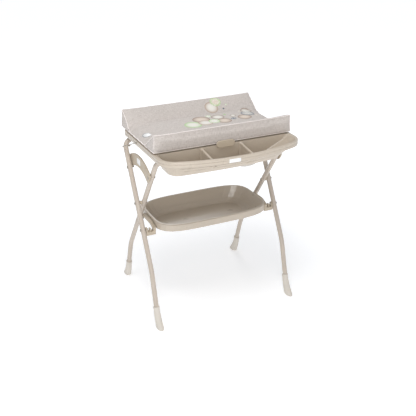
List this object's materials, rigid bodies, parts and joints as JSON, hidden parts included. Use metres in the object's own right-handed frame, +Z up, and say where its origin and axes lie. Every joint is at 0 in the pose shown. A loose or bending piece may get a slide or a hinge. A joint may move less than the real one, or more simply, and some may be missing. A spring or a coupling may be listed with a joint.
{
  "type": "folding changing table",
  "caption": "Folding baby changing table: crossed tube legs carry a bath with a divided front tray, a padded mat that lifts, and a low storage basin.",
  "frame": {"origin": "on the floor, under the middle of the whole table", "axes": "+Z up; -Y is the front, where the tray and the mat handle are; +X along the length of the mat"},
  "size_m": [0.791, 0.754, 1.01],
  "materials": {
    "paint": "satin powder coat",
    "foot_plastic": "fine matt",
    "zinc_steel": "zinc plated",
    "mat_cover": "soft coated fabric",
    "board": "matt sheet",
    "hose": "clear flexible vinyl",
    "gloss_plastic": "moulded satin gloss",
    "fitting_plastic": "moulded satin"
  },
  "bodies": {
    "outer_frame": {"outer_leg_left": "paint", "outer_leg_right": "paint", "front_foot_left": "foot_plastic", "front_foot_right": "foot_plastic", "leg_rivet_left": "zinc_steel", "leg_rivet_right": "zinc_steel", "leg_spacer_left": "fitting_plastic", "leg_spacer_right": "fitting_plastic", "lock_stud_left": "zinc_steel", "lock_stud_right": "zinc_steel", "basin_rivet_left": "zinc_steel", "basin_rivet_right": "zinc_steel", "outer_cross_tube": "paint"},
    "inner_frame": {"inner_leg_left": "paint", "inner_leg_right": "paint", "rear_foot_left": "foot_plastic", "rear_foot_right": "foot_plastic", "lock_rivet_left": "zinc_steel", "lock_rivet_right": "zinc_steel", "basin_peg_left": "zinc_steel", "basin_peg_right": "zinc_steel", "inner_cross_tube": "paint"},
    "lock_arm_left_body": {"lock_arm_left": "fitting_plastic"},
    "lock_arm_right_body": {"lock_arm_right": "fitting_plastic"},
    "stay_left": {"stay_wire_left": "zinc_steel", "stay_cap_left": "fitting_plastic"},
    "stay_right": {"stay_wire_right": "zinc_steel", "stay_cap_right": "fitting_plastic"},
    "bath": {"bath_tub": "gloss_plastic", "drain_fitting": "fitting_plastic", "drain_hose": "hose", "hose_holder": "fitting_plastic", "tub_hinge_left": "fitting_plastic", "tub_hinge_right": "fitting_plastic", "mat_hinge_base_left": "fitting_plastic", "mat_hinge_base_right": "fitting_plastic"},
    "plug": {"drain_plug": "fitting_plastic"},
    "mat": {"changing_mat": "mat_cover", "mat_board": "board", "lift_handle": "fitting_plastic", "mat_leaf_left": "fitting_plastic", "mat_leaf_right": "fitting_plastic"},
    "basin": {"storage_basin": "gloss_plastic", "basin_bracket_left": "fitting_plastic", "basin_bracket_right": "fitting_plastic"}
  },
  "joints": [
    {"name": "frame_fold", "type": "hinge", "parent": "outer_frame", "child": "inner_frame", "pos_m": [0, 0.01611, 0.58578], "axis": [1, 0, 0], "range_deg": [-42, 0]},
    {"name": "bath_tilt", "type": "hinge", "parent": "outer_frame", "child": "bath", "pos_m": [0, 0.17, 0.87], "axis": [1, 0, 0], "range_deg": [-109.25, 0], "deforming": ["drain_hose"]},
    {"name": "basin_tilt", "type": "hinge", "parent": "outer_frame", "child": "basin", "pos_m": [0, -0.04929, 0.465], "axis": [1, 0, 0], "range_deg": [0, 42.05]},
    {"name": "lock_left_lift", "type": "hinge", "parent": "inner_frame", "child": "lock_arm_left_body", "pos_m": [-0.3586, -0.10905, 0.76671], "axis": [1, 0, 0], "range_deg": [0, 8]},
    {"name": "lock_right_lift", "type": "hinge", "parent": "inner_frame", "child": "lock_arm_right_body", "pos_m": [0.3586, -0.10905, 0.76671], "axis": [1, 0, 0], "range_deg": [0, 8]},
    {"name": "mat_lift", "type": "hinge", "parent": "bath", "child": "mat", "pos_m": [0, 0.2365, 0.9143], "axis": [-1, 0, 0], "range_deg": [0, 95]},
    {"name": "stay_left_swing", "type": "hinge", "parent": "outer_frame", "child": "stay_left", "pos_m": [-0.376, 0.15484, 0.842], "axis": [1, 0, 0], "range_deg": [0, 60]},
    {"name": "stay_right_swing", "type": "hinge", "parent": "outer_frame", "child": "stay_right", "pos_m": [0.376, 0.15484, 0.842], "axis": [1, 0, 0], "range_deg": [0, 60]},
    {"name": "plug_lift", "type": "slide", "parent": "bath", "child": "plug", "axis": [0, 0, 1], "range_m": [0, 0.03]}
  ],
  "couplings": [
    {"joint": "bath_tilt", "follows": "frame_fold", "ratio": 2.6},
    {"joint": "basin_tilt", "follows": "frame_fold", "ratio": -1}
  ]
}
